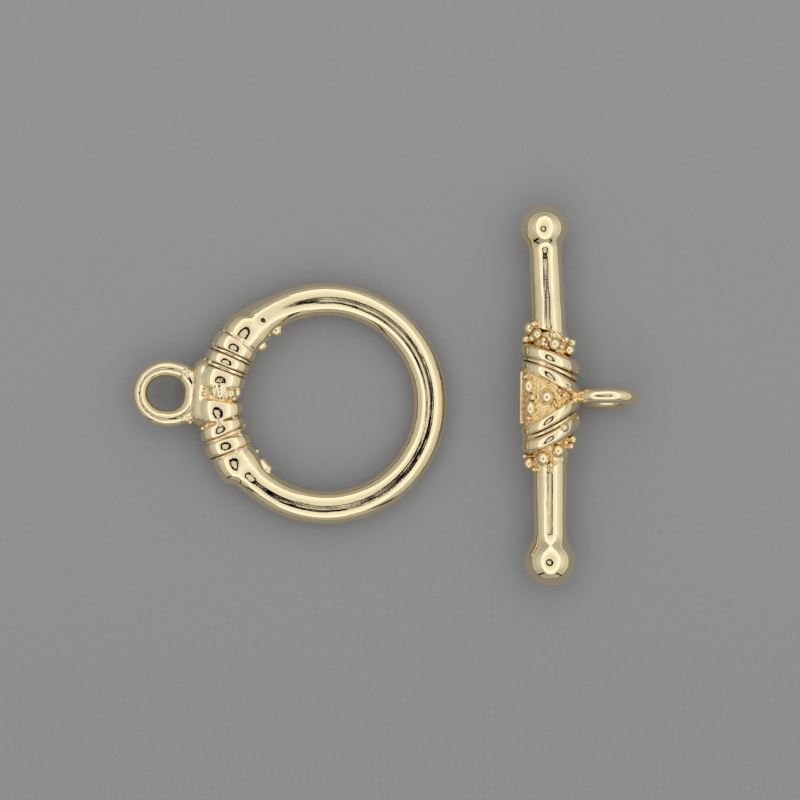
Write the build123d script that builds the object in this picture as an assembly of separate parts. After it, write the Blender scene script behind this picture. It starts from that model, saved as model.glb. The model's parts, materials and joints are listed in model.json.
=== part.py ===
from build123d import *
from collections import namedtuple
from math import asin, cos, degrees, radians, sqrt
import os

# A toggle clasp for a bracelet or a necklace, cast in two halves and plated in pale gold.
# The ring half is a round hoop, bound on one side with cast turns of wire, with an eye beyond
# them for the chain. The bar half is a rod with ball ends. Its thicker middle carries four
# slanting bands, rows of beads and an eye of its own. To close the clasp the bar goes through
# the hoop end first and then lies across it.
# Both halves lie on a flat surface, side by side, each as it rests by itself.
# The origin is on that surface, under the middle of the box round both halves. +X runs from the
# ring's eye to the bar's eye, +Y along the bar, +Z up. Lengths are in millimetres, angles in degrees.

# The hoop
hoop_od = 15.0              # across the outside of the hoop
wire_d = 2.06               # the hoop's round wire

# The turns of wire bound round the hoop, all centred a little outside the hoop's own wire
wrap_shift = 0.17           # how far outwards they are centred
core_d = 2.48               # floor of the grooves between the turns
core_over = 5.5             # how many degrees the core runs on past the outermost turns
core_round = 0.18           # rounding of the core's ends
turn_d = 2.80               # over a turn
turn_w = 0.81               # width of a plain turn
turn_round = 0.26           # rounding of a turn's rims
strand_d = 2.62             # over the fine strand that lies in a groove
strand_w = 0.17             # width of that strand

# What sits outside the turns: a short saddle, and the eye on it
saddle_sink = 0.35          # how far its middle line lies inside the turns' outer edge
saddle_d = 1.26
saddle_l = 3.90             # end to end
ring_eye_seat = 0.02        # from the saddle's middle line out to the eye's inner edge
ring_eye_wire = 0.98
ring_eye_hole_l = 2.42      # the oval hole, away from the hoop
ring_eye_hole_w = 2.08      # and across
knot_d = 0.95               # lump where the middle turns cross, on the upper side

# Small grains that the casting leaves at the ends of the binding
grain_d = 0.62

# The bar
arm_l = 10.55               # from the barrel's middle to the centre of the upper ball
ball_d = 3.26               # the lower ball, the larger one
rod_d = 2.04                # at the ball
rod_root_d = 2.16           # at the barrel
neck_r = 1.20               # hollow rounding between rod and ball
barrel_d = 3.06
barrel_l = 8.30             # along its middle line; its ends slant as the outer bands do
barrel_round = 0.42         # rounding of the barrel's ends

# The bands and beads on the barrel
band_d = 3.68               # over the bands
band_w = 0.74
band_round = 0.24           # rounding of a band's rims
thread_d = 3.30             # over the fine thread between two bands
thread_w = 0.17
panel_d = 3.16              # the panel between the two middle bands
panel_l = 3.00
rib_d = 0.30                # thin rib that closes the panel on the side away from the eye
rib_l = 3.10
rib_proud = 0.26            # how far the rib stands out from the panel
bead_top_d = 3.68           # over the tops of the beads
bead_d = 0.76

# The bar's eye, which stands upright across the bar
bar_eye_seat = 0.52         # from the barrel's side out to the middle of the eye's wire
bar_eye_od = 4.06
bar_eye_wire = 0.96
bar_eye_lean = 6.0          # its lower side leans towards the shorter end of the bar
bar_eye_root_d = 1.24       # lump of metal where the eye meets the barrel
bar_eye_root_sink = 0.25    # how far that lump's middle lies inside the eye's middle line

# How the halves lie
lay_gap = 4.55              # clear space between hoop and barrel
lay_shift = 0.33            # how much higher up the page the bar's middle lies
ring_turned = -3.6          # the ring half's eye points this far off the -X direction

# Turns on the hoop. at: angle from the eye's direction. skew: how far the turn is slewed.
# width and size: shares of turn_w and turn_d.
Turn = namedtuple("Turn", "at skew width size")
turns = [
    Turn(-36.9, 0.0, 1.38, 0.97),
    Turn(-27.1, 0.0, 0.93, 1.00),
    Turn(-18.2, 0.0, 0.91, 1.00),
    Turn(-8.2, -2.0, 1.24, 1.01),
    Turn(6.6, 3.0, 1.46, 1.01),
    Turn(17.4, 7.0, 0.78, 1.00),
    Turn(27.0, -3.5, 0.93, 0.99),
    Turn(36.2, -5.0, 1.03, 0.97),
]
# Fine strands in the grooves, with the same columns; the shares are of strand_w and strand_d.
strands = [
    Turn(-22.6, 0.0, 1.00, 1.00),
    Turn(-13.9, 0.0, 1.00, 1.00),
    Turn(21.9, 2.0, 1.00, 1.00),
    Turn(31.4, -1.0, 1.00, 1.00),
]

# Grains on the hoop. at: angle from the eye's direction. out: how far outside the wire's middle
# line, as a share of the wire's radius. up: height above the hoop's middle plane, likewise.
# size: share of grain_d.
Grain = namedtuple("Grain", "at out up size")
grains = [
    Grain(-50.6, -0.93, 0.30, 1.00),
    Grain(-38.6, -1.02, 0.20, 0.92),
    Grain(-44.6, -0.88, 0.42, 0.62),
    Grain(-41.7, 1.06, 0.25, 0.50),
    Grain(49.4, -1.02, 0.15, 1.15),
    Grain(53.9, -0.84, 0.40, 0.52),
    Grain(41.1, 1.00, 0.30, 0.52),
]

# Arms of the bar. side: +1 up the page. reach and ball: shares of arm_l and ball_d. lean: how far
# the arm leans away from the eye.
Arm = namedtuple("Arm", "side reach ball lean")
arms = [
    Arm(1, 1.000, 0.92, 2.9),
    Arm(-1, 0.957, 1.00, 0.0),
]
lean_from = 0.75            # an arm leans about this share of half the barrel's length

# Bands on the barrel. along: share of half the barrel's length. slant: how steeply the band runs
# towards the middle on the eye's side.
Band = namedtuple("Band", "along slant")
bands = [
    Band(0.61, -18.5),
    Band(0.345, -22.5),
    Band(-0.345, 25.5),
    Band(-0.61, 24.5),
]
threads = [
    Band(0.478, -20.5),
    Band(-0.478, 25.0),
]

# Beads on the barrel. along: share of half the barrel's length. round: angle from the top, towards
# the eye. size: share of bead_d. Each bead has a twin on the underside.
Bead = namedtuple("Bead", "along round size")
beads = [
    Bead(1.00, -64, 1.00),
    Bead(0.945, -30, 0.78),
    Bead(0.80, 14, 0.86),
    Bead(0.71, 56, 0.90),
    Bead(0.175, -58, 0.88),
    Bead(-0.150, -54, 0.86),
    Bead(0.007, -5, 1.00),
    Bead(-0.970, -68, 0.78),
    Bead(-0.905, -17, 1.00),
    Bead(-0.790, 21, 1.04),
    Bead(-0.640, 72, 0.76),
]

hoop_r = (hoop_od - wire_d) / 2
wrap_r = hoop_r + wrap_shift
saddle_reach = wrap_r + turn_d / 2 - saddle_sink
ring_eye_reach = saddle_reach + ring_eye_seat + ring_eye_wire + ring_eye_hole_l / 2
half_barrel = barrel_l / 2
bar_eye_r = (bar_eye_od - bar_eye_wire) / 2
bar_eye_reach = barrel_d / 2 + bar_eye_seat + bar_eye_r


def disc(diameter, width, rounding):
    """A flat disc on its side with rounded rims, its axis along Y."""
    blank = Cylinder(diameter / 2, width)
    return Rot(90, 0, 0) * fillet(blank.edges().filter_by(GeomType.CIRCLE), min(rounding, 0.45 * width))


def oval_disc(diameter, width, rounding, slant):
    """A disc across the barrel, wide enough to reach the same outline when it is slanted."""
    blank = extrude(Ellipse(diameter / 2 / cos(radians(slant)), diameter / 2), width / 2, both=True)
    return Rot(90, 0, 0) * fillet(blank.edges().filter_by(GeomType.ELLIPSE), min(rounding, 0.45 * width))


def on_hoop(at, radius):
    """The place on a circle about the hoop's centre, turned with it; the eye lies towards -X."""
    return Rot(0, 0, 180 + at) * Pos(radius, 0, 0)


def bent_wire(radius, diameter, start, sweep):
    """A round wire bent about the hoop's centre, from one angle on through another."""
    section = Plane.XZ * Pos(radius, 0) * Circle(diameter / 2)
    return Rot(0, 0, 180 + start) * revolve(section, Axis.Z, sweep)


def make_turn(turn, width, diameter, rounding):
    """One turn of wire round the hoop, as a disc that stands across it."""
    return on_hoop(turn.at, wrap_r) * Rot(0, 0, turn.skew) * disc(
        turn.size * diameter, turn.width * width, rounding)


def make_binding():
    """The core that runs under the turns and a little past them, the turns and the fine strands."""
    core = bent_wire(wrap_r, core_d, turns[0].at - core_over, turns[-1].at - turns[0].at + 2 * core_over)
    core = fillet(core.faces().filter_by(GeomType.PLANE).edges(), core_round)
    wound = [make_turn(turn, turn_w, turn_d, turn_round) for turn in turns]
    fine = [make_turn(turn, strand_w, strand_d, strand_w / 3) for turn in strands]
    return [core] + wound + fine


def make_ring_eye():
    """The oval eye of the ring half and the saddle that it sits on."""
    path = Ellipse((ring_eye_hole_l + ring_eye_wire) / 2, (ring_eye_hole_w + ring_eye_wire) / 2).wire()
    start = Plane(origin=path @ 0, z_dir=path % 0)
    eye = sweep(start * Circle(ring_eye_wire / 2), path=path)
    straight = saddle_l - saddle_d
    saddle = Rot(90, 0, 0) * Cylinder(saddle_d / 2, straight)
    ends = [Pos(-saddle_reach, side * straight / 2, 0) * Sphere(saddle_d / 2) for side in (-1, 1)]
    return [Pos(-ring_eye_reach, 0, 0) * eye, Pos(-saddle_reach, 0, 0) * saddle] + ends


def make_grains():
    """The grains round the ends of the binding, and the lump where the middle turns cross."""
    made = []
    for grain in grains:
        place = on_hoop(grain.at, hoop_r + grain.out * wire_d / 2) * Pos(0, 0, grain.up * wire_d / 2)
        away = Rot(0, 0, 180 if grain.out < 0 else 0)
        made.append(place * away * Sphere(grain.size * grain_d / 2))
    knot = Pos(-wrap_r, 0, (turn_d - knot_d) / 2) * Sphere(knot_d / 2)
    return made + [knot]


def make_ring_half():
    """The ring half as one casting, flat about the hoop's own centre."""
    hoop = bent_wire(hoop_r, wire_d, turns[-1].at, 360 + turns[0].at - turns[-1].at)
    return hoop.fuse(*make_binding(), *make_ring_eye(), *make_grains())


def make_arm(arm):
    """A rod that runs through a hollow neck into its ball, along +Y or -Y."""
    ball_r = arm.ball * ball_d / 2
    reach = arm.reach * arm_l
    drop = sqrt((ball_r + neck_r) ** 2 - (rod_d / 2 + neck_r) ** 2)
    neck = Vector(rod_d / 2 + neck_r, reach - drop)
    ball = Vector(0, reach)
    meets = ball + (neck - ball).normalized() * ball_r
    inner = Vector(-1, 0) + (ball - neck).normalized()
    outer = Vector(1, 0) * ball_r + ball
    outline = (
        Line((0, 0), (rod_root_d / 2, 0))
        + Line((rod_root_d / 2, 0), (rod_d / 2, neck.Y))
        + ThreePointArc((rod_d / 2, neck.Y), neck + inner.normalized() * neck_r, meets)
        + ThreePointArc(meets, outer, (0, reach + ball_r))
        + Line((0, reach + ball_r), (0, 0))
    )
    solid = revolve(make_face(outline), Axis.Y)
    if arm.side < 0:
        solid = Rot(0, 0, 180) * solid
    pivot = arm.side * lean_from * half_barrel
    return Pos(0, pivot, 0) * Rot(0, 0, arm.side * arm.lean) * Pos(0, -pivot, 0) * solid


def make_barrel():
    """The thick middle of the bar with its panel, rib, bands and fine threads."""
    core = Rot(90, 0, 0) * Cylinder(barrel_d / 2, 2 * barrel_l)
    for side, band in ((1, bands[0]), (-1, bands[-1])):
        slanted = Location((0, side * half_barrel, 0), (0, 0, band.slant)) * Rot(-90 * side, 0, 0)
        core = split(core, Plane(slanted), keep=Keep.BOTTOM)
    core = fillet(core.edges().filter_by(GeomType.ELLIPSE), barrel_round)
    panel = Rot(90, 0, 0) * Cylinder(panel_d / 2, panel_l)
    rib = Pos((rib_d - panel_d) / 2 - rib_proud, 0, 0) * Rot(90, 0, 0) * Cylinder(rib_d / 2, rib_l)
    wound = [Pos(0, band.along * half_barrel, 0) * Rot(0, 0, band.slant)
             * oval_disc(band_d, band_w, band_round, band.slant) for band in bands]
    fine = [Pos(0, band.along * half_barrel, 0) * Rot(0, 0, band.slant)
            * oval_disc(thread_d, thread_w, thread_w / 3, band.slant) for band in threads]
    return [core, panel, rib] + wound + fine


def make_beads():
    """The beads, each sunk so that its top stands level with the others, above and below."""
    made = []
    for bead in beads:
        bead_r = bead.size * bead_d / 2
        for around in (bead.round, 180 - bead.round):
            seat = Pos(0, bead.along * half_barrel, 0) * Rot(0, around, 0) * Pos(0, 0, bead_top_d / 2 - bead_r)
            made.append(seat * Sphere(bead_r))
    return made


def make_bar_eye():
    """The round eye that stands on the barrel, with the lump of metal at its root."""
    eye = Pos(bar_eye_reach, 0, 0) * Rot(90 - bar_eye_lean, 0, 0) * Torus(bar_eye_r, bar_eye_wire / 2)
    root = Pos(bar_eye_reach - bar_eye_r - bar_eye_root_sink, 0, 0) * Sphere(bar_eye_root_d / 2)
    return [eye, root]


def make_bar_half():
    """The bar half as one casting, about the middle of its barrel."""
    first, second = [make_arm(arm) for arm in arms]
    return first.fuse(second, *make_barrel(), *make_beads(), *make_bar_eye())


def rested(half, tilt):
    """The half tilted about Y as it lies by itself, with its lowest point on the surface."""
    tilted = Rot(0, tilt, 0) * half
    return Pos(0, 0, -tilted.bounding_box().min.Z) * tilted


# The ring half stands on the far side of its hoop and on the turns, so the hoop's far side dips.
ring_slopes = [(turn.size * turn_d - wire_d) / 2 / (hoop_r + wrap_r * cos(radians(turn.at))) for turn in turns]
ring_tilt = degrees(asin(max(ring_slopes)))
# The bar half stands on its bands and on its eye, so the eye's side is raised.
bar_tilt = degrees(asin((bar_eye_od - band_d) / 2 / bar_eye_reach))

ring = Rot(0, 0, ring_turned) * rested(make_ring_half(), ring_tilt)
bar = Pos(hoop_od / 2 + lay_gap + band_d / 2, lay_shift, 0) * rested(make_bar_half(), -bar_tilt)

boxes = [half.bounding_box() for half in (ring, bar)]
middle_x = (min(box.min.X for box in boxes) + max(box.max.X for box in boxes)) / 2
middle_y = (min(box.min.Y for box in boxes) + max(box.max.Y for box in boxes)) / 2
to_origin = Pos(-middle_x, -middle_y, 0)

os.makedirs("parts", exist_ok=True)
for name, half in (("toggle_ring", ring), ("toggle_bar", bar)):
    placed = to_origin * half
    export_step(placed, f"parts/{name}.step")
    print(name, "solids", len(placed.solids()), "volume mm3", round(placed.volume, 2))
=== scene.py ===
# %% [markdown]
# A toggle clasp in pale gold plate, seen from straight above: a round hoop bound with cast turns
# of wire and an eye for the chain, and beside it a bar with ball ends, slanting bands, beads and
# an eye of its own. Both halves lie on a sheet of grey paper.
# The real halves are cast in one go, so every turn, bead and eye flows into its neighbours.
# The measured solids are loaded first. They fix sizes and places, and the looks are built on them.

# %% Load the measured model
import json
from collections import namedtuple
from math import asin, cos, pi, radians, sin, sqrt, tan

import bpy
import numpy as np
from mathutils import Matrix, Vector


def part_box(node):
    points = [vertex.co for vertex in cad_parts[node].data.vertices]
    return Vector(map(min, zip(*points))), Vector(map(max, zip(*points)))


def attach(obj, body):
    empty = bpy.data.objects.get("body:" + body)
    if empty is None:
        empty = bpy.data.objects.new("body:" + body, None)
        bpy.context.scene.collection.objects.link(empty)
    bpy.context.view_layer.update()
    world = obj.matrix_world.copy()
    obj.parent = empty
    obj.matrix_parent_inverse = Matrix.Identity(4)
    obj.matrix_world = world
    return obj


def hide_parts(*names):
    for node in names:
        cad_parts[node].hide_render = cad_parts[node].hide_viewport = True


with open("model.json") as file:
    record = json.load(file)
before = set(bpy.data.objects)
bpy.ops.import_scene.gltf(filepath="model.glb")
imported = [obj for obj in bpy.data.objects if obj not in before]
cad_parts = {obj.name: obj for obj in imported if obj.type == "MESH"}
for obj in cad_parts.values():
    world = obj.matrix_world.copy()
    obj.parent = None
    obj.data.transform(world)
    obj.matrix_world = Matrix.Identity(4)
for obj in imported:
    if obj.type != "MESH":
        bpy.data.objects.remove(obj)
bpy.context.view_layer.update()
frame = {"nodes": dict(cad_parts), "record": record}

import openvdb
from mathutils import Matrix, Vector

MM = 0.001
for node_name in sorted(frame["nodes"]):
    low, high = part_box(node_name)
    print(node_name, "spans", [round(side / MM, 2) for side in high - low], "mm")

# %% [markdown]
# The camera stands straight above on a long lens, so the walls of the pieces don't lean outwards
# in the picture. It could be framed by eye, but the picture's width is known in millimetres, so
# the lens follows from the width and the height. The frame is 800 pixels wide and 800 high.

# %% Camera
scene = bpy.context.scene
PICTURE_W = 49.59 * MM  # what the picture's width covers, at the height of the wires
PICTURE_MIDDLE = (0.855 * MM, -0.279 * MM)
CAMERA_H = 600 * MM
WIRE_H = 1.3 * MM  # height of the wires' middle lines above the page
SENSOR_W = 36

camera = bpy.data.objects.new("camera", bpy.data.cameras.new("camera"))
camera.data.sensor_width = SENSOR_W
camera.data.lens = SENSOR_W * (CAMERA_H - WIRE_H) / PICTURE_W
camera.data.clip_start = 0.01
camera.data.clip_end = 10
camera.location = (*PICTURE_MIDDLE, CAMERA_H)
scene.collection.objects.link(camera)
scene.camera = camera
scene.view_settings.view_transform = "Standard"
print("lens", round(camera.data.lens), "mm")

# %% [markdown]
# Shader nodes are wired in many places below, so small helpers keep that short: one makes a node
# and sets its values, and the others are for sums, masks, mixes, directions, noise and materials.


# %% Helpers for nodes
def add(tree, kind, settings=None, **inputs):
    """A shader node. settings are its own properties, inputs are values or sockets.

    An input is given by its name, or as i0, i1 and so on by its place.
    """
    made = tree.nodes.new("ShaderNode" + kind)
    for key, value in (settings or {}).items():
        setattr(made, key, value)
    for key, value in inputs.items():
        place = int(key[1:]) if key[0] == "i" and key[1:].isdigit() else key.replace("_", " ")
        target = made.inputs[place]
        if isinstance(value, bpy.types.NodeSocket):
            tree.links.new(value, target)
        else:
            target.default_value = value
    return made


def maths(tree, operation, first, second=0.0, third=0.0):
    """The result of one sum. A value may be a number or a socket."""
    return add(tree, "Math", {"operation": operation}, i0=first, i1=second, i2=third).outputs[0]


def times(tree, first, *others):
    """The product of them all."""
    for other in others:
        first = maths(tree, "MULTIPLY", first, other)
    return first


def step(tree, value, start, end, low=0.0, high=1.0, soft=True):
    """Runs from low to high as value runs from start to end."""
    settings = {"interpolation_type": "SMOOTHSTEP" if soft else "LINEAR"}
    return add(tree, "MapRange", settings, Value=value, From_Min=start, From_Max=end,
               To_Min=low, To_Max=high).outputs[0]


def inside(tree, value, border, blur):
    """1 where value is below the border, 0 above it. blur is half the width of the change."""
    return step(tree, value, border + blur, border - blur)


def mix(tree, share, first, second, kind="FLOAT"):
    """Runs from first to second as share runs from 0 to 1. Colours are of the kind RGBA."""
    if kind == "FLOAT":
        return add(tree, "Mix", {"data_type": kind}, i0=share, i2=first, i3=second).outputs[0]
    return add(tree, "Mix", {"data_type": kind}, i0=share, i6=first, i7=second).outputs[2]


def dot(tree, first, second):
    return add(tree, "VectorMath", {"operation": "DOT_PRODUCT"}, i0=first, i1=second).outputs["Value"]


def noise(tree, place, scale, detail):
    return add(tree, "TexNoise", Vector=place, Scale=scale, Detail=detail).outputs[0]


def new_material(name):
    """A material, its node tree and its shader."""
    material = bpy.data.materials.new(name)
    material.use_nodes = True
    return material, material.node_tree, material.node_tree.nodes["Principled BSDF"]


# %% [markdown]
# Polished metal shows only its surroundings, so the light matters most here. Small jewellery is
# lit in a tent of white cloth: a bright roof, longest along the page and brightest at its edge,
# over walls about half as bright. The lens looks in through a hole in the roof, whose dark rim,
# with a few lighter breaks, shows as fine dark lines along every crown.
# Lamps round the pieces would give round spots. A world shader that works out the cloth's
# brightness from the direction gives the whole tent, with no lamps at all.

# %% The light tent
Reach = namedtuple("Reach", "at light")
roof = [  # brightness of the roof, from its middle, 0, to its edge, 1
    Reach(0, 0.80), Reach(0.40, 0.85), Reach(0.62, 0.98), Reach(0.82, 1.14), Reach(0.95, 1.28),
    Reach(1, 1.22),
]
walls = [  # brightness of the walls by degrees from straight up
    Reach(40, 0.74), Reach(60, 0.64), Reach(74, 0.52), Reach(82, 0.64), Reach(86, 0.50),
    Reach(90, 0.15),
]
ROOF_HALF_X, ROOF_HALF_Y = 41, 60  # half the roof's size in degrees, sideways and along the page
ROOF_EDGE, ROOF_BLUR = 1.01, 0.025  # where the roof ends, as a share of its size, and how softly
WALL_ENDS, WALL_SIDES = 0.74, 0.36  # share at the ends of the page, and how much more at the sides
WALL_LIFT = 0.12  # how much brighter the wall is towards +X
HOLE_TILT_X = -4.5  # where the hole lies: degrees from straight up, towards +X
HOLE_TILT_Y = -5.6  # and towards +Y
HOLE_R, HOLE_BLUR = 9.0, 0.8  # of the hole, in degrees, and half the softness of its edge
RIM_R, RIM_BLUR = 16.0, 0.6  # the same of the dark rim's outside
HOLE_LIGHT, SPECK_LIGHT = 0.82, 0.25  # in the hole, and what the dark specks leave of it
RIM_LIGHT, BREAK_LIGHT = 0.0, 0.4  # on the rim, and in its breaks
SPECK_SCALE, BREAK_SCALE = 26.0, 11.0
CLOTH_COLOUR = (1.0, 0.985, 0.96, 1)
PAPER_LIGHT = 0.285


def run_of_light(tree, value, reaches):
    """Brightness that eases from one reach to the next as value grows."""
    made = add(tree, "ValToRGB", i0=maths(tree, "DIVIDE", value, reaches[-1].at))
    made.color_ramp.interpolation = "EASE"
    while len(made.color_ramp.elements) < len(reaches):
        made.color_ramp.elements.new(0.5)
    for element, reach in zip(made.color_ramp.elements, reaches):
        element.position = reach.at / reaches[-1].at
        element.color = (reach.light, reach.light, reach.light, 1)
    return made.outputs["Color"]


def angle_of(tree, cosine):
    """Degrees from a cosine."""
    return times(tree, maths(tree, "ARCCOSINE", cosine), 180 / pi)


def length_of(tree, vector, scale):
    """Length of a vector after each of its sides is multiplied."""
    scaled = add(tree, "VectorMath", {"operation": "MULTIPLY"}, i0=vector, i1=scale)
    return add(tree, "VectorMath", {"operation": "LENGTH"}, i0=scaled.outputs[0]).outputs["Value"]


world = bpy.data.worlds.new("light tent")
world.use_nodes = True
scene.world = world
sky = world.node_tree
sky.nodes.clear()
direction = add(sky, "TexCoord").outputs["Generated"]
sides = add(sky, "SeparateXYZ", Vector=direction).outputs
zenith = angle_of(sky, sides["Z"])
level = length_of(sky, direction, (1, 1, 0))
sideways = maths(sky, "DIVIDE", sides["X"], level)

wall_share = maths(sky, "MULTIPLY_ADD", times(sky, sideways, sideways), WALL_SIDES, WALL_ENDS)
wall_share = maths(sky, "MULTIPLY_ADD", sideways, WALL_LIFT, wall_share)
wall = times(sky, run_of_light(sky, zenith, walls), wall_share)
oval_reach = length_of(sky, direction, (1 / ROOF_HALF_X, 1 / ROOF_HALF_Y, 0))
from_middle = times(sky, zenith, maths(sky, "DIVIDE", oval_reach, level))
under_roof = inside(sky, from_middle, ROOF_EDGE, ROOF_BLUR)
cloth = mix(sky, under_roof, wall, run_of_light(sky, from_middle, roof))

towards_hole = Vector((tan(radians(HOLE_TILT_X)), tan(radians(HOLE_TILT_Y)), 1)).normalized()
from_hole = angle_of(sky, dot(sky, direction, towards_hole))
specks = step(sky, noise(sky, direction, SPECK_SCALE, 3.0), 0.36, 0.46, SPECK_LIGHT, 1.0)
rim = step(sky, noise(sky, direction, BREAK_SCALE, 1.0), 0.60, 0.66, RIM_LIGHT, BREAK_LIGHT)
in_hole = inside(sky, from_hole, HOLE_R, HOLE_BLUR)
rim_or_hole = mix(sky, in_hole, rim, times(sky, specks, HOLE_LIGHT))
light = mix(sky, inside(sky, from_hole, RIM_R, RIM_BLUR), cloth, rim_or_hole)

# %% [markdown]
# Two narrow dark gaps near the table, where the cloth is drawn together, show as dark flecks on
# the lower sides of the pieces. Each is a mask of its own: a slit that leans as it rises.

# %% Gaps at the foot of the tent
Gap = namedtuple("Gap", "around lean")
gaps = [Gap(-53, -0.375), Gap(-130, 0.40)]  # degrees round from +X, and the lean towards its top
GAP_HALF_W = 0.055  # half its width, as a share of the distance
GAP_TOP = 0.48  # its height, likewise
GAP_BLUR = 0.012  # half the softness of its edges
GAP_DARK = 0.98  # the share of the cloth's light that is missing in it
for slit in gaps:
    ahead = (cos(radians(slit.around)), sin(radians(slit.around)), 0)
    aside = maths(sky, "ABSOLUTE", dot(sky, direction, (-ahead[1], ahead[0], -slit.lean)))
    gap = times(sky, step(sky, dot(sky, direction, ahead), 0.0, 0.1),
                inside(sky, aside, GAP_HALF_W, GAP_BLUR), inside(sky, sides["Z"], GAP_TOP, GAP_BLUR))
    light = times(sky, light, maths(sky, "MULTIPLY_ADD", gap, -GAP_DARK, 1.0))

tinted = add(sky, "Mix", {"data_type": "RGBA", "blend_type": "MULTIPLY"}, i0=1.0,
             i6=CLOTH_COLOUR, i7=light).outputs[2]
plain = (PAPER_LIGHT, PAPER_LIGHT, PAPER_LIGHT, 1)
seen = mix(sky, add(sky, "LightPath").outputs["Is Camera Ray"], tinted, plain, "RGBA")
shade = add(sky, "Background", Color=seen, Strength=1.0)
sky.links.new(shade.outputs[0], add(sky, "OutputWorld").inputs["Surface"])
print("tent nodes", len(sky.nodes))

# %% [markdown]
# The sheet under the clasp is smooth grey paper. A large plain plane is enough for it, with a
# faint fine mottle and a slow painted falloff of light down the page. It is stage, not part of the clasp.

# %% Grey paper
PAPER_HALF = 0.6
PAPER_GREY = (0.354, 0.360, 0.381)
PAPER_LIGHT_FALLOFF = 0.045  # painted light falloff: how much lighter the paper is painted 25 mm up the page, and darker down it
PAPER_MOTTLE = 0.14  # how much its brightness varies
paper_mesh = bpy.data.meshes.new("paper")
corners = [(x * PAPER_HALF, y * PAPER_HALF, 0) for x, y in ((-1, -1), (1, -1), (1, 1), (-1, 1))]
paper_mesh.from_pydata(corners, [], [(0, 1, 2, 3)])
paper = bpy.data.objects.new("paper", paper_mesh)
scene.collection.objects.link(paper)

paper_look, tree, shader = new_material("grey_paper")
place = add(tree, "TexCoord").outputs["Object"]
mottle = noise(tree, place, 4200.0, 4.0)
height_on_page = add(tree, "SeparateXYZ", Vector=place).outputs["Y"]
# painted light falloff: the paper is painted lighter up the page and darker down it
painted_falloff = step(tree, height_on_page, -25 * MM, 25 * MM, -PAPER_LIGHT_FALLOFF, PAPER_LIGHT_FALLOFF, soft=False)
mottled = maths(tree, "MULTIPLY_ADD", mottle, PAPER_MOTTLE, 1 - PAPER_MOTTLE / 2)
shade_of_grey = maths(tree, "ADD", mottled, painted_falloff)
grey = add(tree, "VectorMath", {"operation": "SCALE"}, i0=PAPER_GREY, Scale=shade_of_grey)
tree.links.new(grey.outputs[0], shader.inputs["Base Color"])
shader.inputs["Roughness"].default_value = 0.9
shader.inputs["Specular IOR Level"].default_value = 0.1
paper_mesh.materials.append(paper_look)
print("paper", 2 * PAPER_HALF, "m across")

# %% [markdown]
# Each half lies a little tilted, as it rests by itself, so its forms are easiest to build in a
# frame of its own: the ring half flat about its hoop's centre with the eye towards -X, the bar
# half about its barrel's middle with the bar along Y and the eye towards +X. The measured model
# gives both eyes' places and axes, and these two matrices follow from them.

# %% Frames of the two halves
EYE_REACH = 9.90  # hoop's centre to the ring half's eye, in mm from here on
BAR_EYE_REACH = 3.60  # bar's axis to its eye
EYE_R = 2.03  # outside radius of the bar's eye
BAND_R = 1.84  # outside radius of the bands on the barrel

mounts = {mount["name"]: mount for mount in frame["record"]["mounts"]}


def half_frame(name, x_axis, y_axis, reach):
    """The matrix from a half's own millimetres to metres in the scene."""
    eye = Vector(mounts[name]["pos_m"]) / MM
    x_axis, y_axis = Vector(x_axis).normalized(), Vector(y_axis).normalized()
    turn = Matrix((x_axis, y_axis, x_axis.cross(y_axis))).transposed().to_4x4()
    return Matrix.Scale(MM, 4) @ Matrix.Translation(eye - reach * x_axis) @ turn


up = Vector(mounts["ring_eye"]["axis"])
level = Vector((-up.y, up.x, 0))
ring_frame = half_frame("ring_eye", level.cross(up), level, -EYE_REACH)
bar_tilt = asin((EYE_R - BAND_R) / BAR_EYE_REACH)
bar_frame = half_frame("bar_eye", (cos(bar_tilt), 0, sin(bar_tilt)), (0, 1, 0), BAR_EYE_REACH)
for name, matrix in (("hoop centre", ring_frame), ("barrel middle", bar_frame)):
    print(name, [round(side / MM, 3) for side in matrix.translation])

# %% [markdown]
# The parts of a casting all flow into each other. Joining meshes would leave hard seams, and
# sculpting isn't repeatable, so the metal is a distance field: for each form a function says how
# far a point lies from its skin, negative inside, and a soft minimum joins the forms with a
# small fillet, as molten metal does. Each form is worked out only near the box that it fills.

# %% Distance fields
FAR = 1.0
BESIDE = 0.34  # how far round its box a form is worked out
Form = namedtuple("Form", "low high distance blend")


def soft_min(first, second, blend):
    """The lesser of two distances, rounded off where they are within blend of each other."""
    share = np.clip(0.5 + 0.5 * (second - first) / blend, 0, 1)
    return second + (first - second) * share - blend * share * (1 - share)


def soft_max(first, second, blend):
    return -soft_min(-first, -second, blend)


def ramp(value, start, end):
    """Runs from 0 to 1 as value runs from start to end."""
    return np.clip((value - start) / (end - start), 0, 1)


class Casting:
    """One half of the clasp as a list of forms that flow into each other."""

    def __init__(self, waviness):
        self.forms = []
        self.waviness = waviness

    def add(self, low, high, distance, blend=0.06):
        self.forms.append(Form(np.array(low) - BESIDE, np.array(high) + BESIDE, distance, blend))

    def add_ball(self, centre, radius, blend):
        self.add(centre - radius, centre + radius,
                 lambda p: np.linalg.norm(p - centre, axis=1) - radius, blend)

    def add_oval(self, centre, radii, blend):
        self.add(centre - radii, centre + radii, oval(centre, radii), blend)

    def add_rod(self, start, end, start_r, end_r, room, blend):
        """Add a rod. room is how far its box reaches beyond its two ends."""
        low, high = np.minimum(start, end) - room, np.maximum(start, end) + room
        self.add(low, high, rod(start, end, start_r, end_r), blend)

    def measure(self, points):
        """Distance of each point from the skin, negative inside the metal."""
        field = np.full(len(points), FAR)
        low, high = points.min(0), points.max(0)
        for form in self.forms:
            if (form.low > high).any() or (form.high < low).any():
                continue
            near = np.flatnonzero(((points >= form.low) & (points <= form.high)).all(1))
            if len(near):
                field[near] = soft_min(field[near], form.distance(points[near]), form.blend)
        return field + self.waviness(points)


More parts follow.
